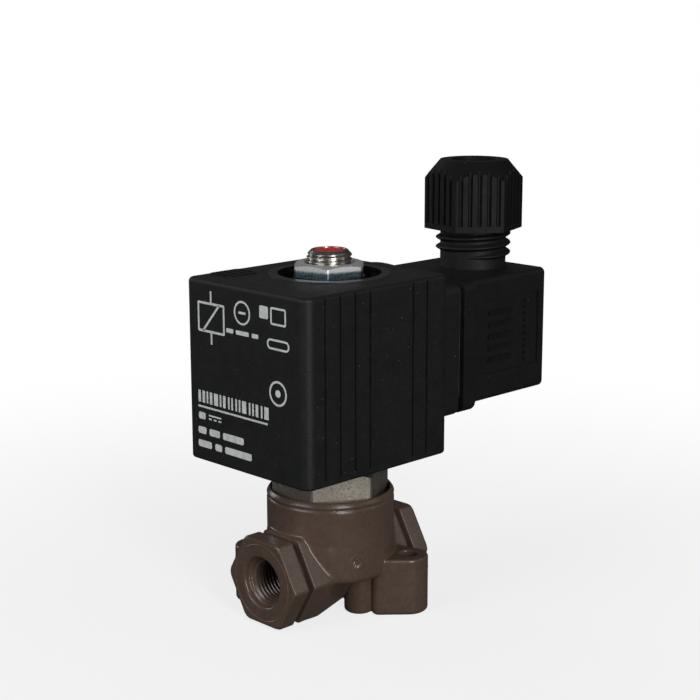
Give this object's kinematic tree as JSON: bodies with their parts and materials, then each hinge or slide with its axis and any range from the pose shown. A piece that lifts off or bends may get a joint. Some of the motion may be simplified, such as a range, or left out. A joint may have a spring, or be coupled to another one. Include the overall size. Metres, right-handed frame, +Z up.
{
  "type": "solenoid valve",
  "caption": "Direct-acting two-way solenoid valve: moulded body with hex threaded ports and screw bosses, hex bonnet, square moulded coil and a plug connector with cable gland.",
  "frame": {"origin": "centre of the two foot screw holes, on the valve axis, in the plane of the foot's underside", "axes": "+Z up the valve axis; +X from the inlet port towards the outlet port and the connector; +Y completes the right-handed frame"},
  "size_m": [0.0807, 0.0374, 0.0947],
  "materials": {
    "valve_body": "satin glass-filled moulding, dark brown",
    "orifice_seat": "turned brass",
    "body_seal": "black fluoroelastomer",
    "bonnet": "sand-blasted nickel plate over brass",
    "guide_tube": "drawn stainless tube",
    "fixed_core": "turned stainless steel with a fine thread",
    "stud_mark": "gloss red paint",
    "coil_seal": "black rubber",
    "plunger": "ground magnetic stainless steel",
    "plunger_seal": "black fluoroelastomer",
    "plunger_spring": "stainless spring wire",
    "top_washer": "bright zinc plate",
    "top_nut": "bright zinc plate, blue tint",
    "coil_housing": "fine-textured black thermoset moulding",
    "coil_bobbin": "natural nylon",
    "coil_winding": "enamelled copper wire",
    "yoke_frame": "zinc-plated strip",
    "power_blades": "tinned brass",
    "earth_blade": "tinned brass",
    "screw_insert": "turned brass",
    "connector_gasket": "black nitrile rubber",
    "connector_housing": "black nylon moulding",
    "terminal_block": "black nylon moulding",
    "contact_clips": "tinned brass",
    "terminal_screws": "zinc plate",
    "fixing_screw": "zinc plate",
    "cable_grommet": "black rubber",
    "gland_washer": "black nylon",
    "gland_nut": "black nylon moulding"
  },
  "bodies": {
    "valve": {"valve_body": "valve_body", "orifice_seat": "orifice_seat", "body_seal": "body_seal", "bonnet": "bonnet", "guide_tube": "guide_tube", "fixed_core": "fixed_core", "stud_mark": "stud_mark", "coil_seal": "coil_seal", "plunger_spring": "plunger_spring"},
    "plunger": {"plunger": "plunger", "plunger_seal": "plunger_seal"},
    "coil": {"coil_housing": "coil_housing", "coil_bobbin": "coil_bobbin", "coil_winding": "coil_winding", "yoke_frame": "yoke_frame", "power_blades": "power_blades", "earth_blade": "earth_blade", "screw_insert": "screw_insert", "connector_gasket": "connector_gasket", "connector_housing": "connector_housing", "terminal_block": "terminal_block", "contact_clips": "contact_clips", "terminal_screws": "terminal_screws", "cable_grommet": "cable_grommet"},
    "stud_washer": {"top_washer": "top_washer"},
    "stud_nut": {"top_nut": "top_nut"},
    "plug_screw": {"fixing_screw": "fixing_screw"},
    "gland_slip": {"gland_washer": "gland_washer"},
    "gland": {"gland_nut": "gland_nut"}
  },
  "joints": [
    {"name": "plunger_slide", "type": "slide", "parent": "valve", "child": "plunger", "axis": [0, 0, 1], "range_m": [0, 0.0017], "stiffness_N_per_m": 200, "springref_m": -0.006, "deforming": ["plunger_spring"]},
    {"name": "coil_swivel", "type": "hinge", "parent": "valve", "child": "coil", "pos_m": [0, 0, 0.0344], "axis": [0, 0, 1], "continuous": true},
    {"name": "nut_lift", "type": "slide", "parent": "valve", "child": "stud_washer", "axis": [0, 0, 1], "range_m": [0, 0.002]},
    {"name": "nut_spin", "type": "hinge", "parent": "stud_washer", "child": "stud_nut", "pos_m": [0, 0, 0.0749], "axis": [0, 0, 1], "range_deg": [0, 721]},
    {"name": "gland_lift", "type": "slide", "parent": "coil", "child": "gland_slip", "axis": [0, 0, 1], "range_m": [0, 0.0044]},
    {"name": "gland_spin", "type": "hinge", "parent": "gland_slip", "child": "gland", "pos_m": [0.0459, 0, 0.0864], "axis": [0, 0, 1], "range_deg": [0, 721]},
    {"name": "plug_screw_spin", "type": "hinge", "parent": "coil", "child": "plug_screw", "pos_m": [0.05, 0, 0.0564], "axis": [1, 0, 0], "range_deg": [0, 720]}
  ],
  "couplings": [
    {"joint": "nut_spin", "follows": "nut_lift", "rad_per_m": 6283.2},
    {"joint": "gland_spin", "follows": "gland_lift", "rad_per_m": 2856}
  ]
}
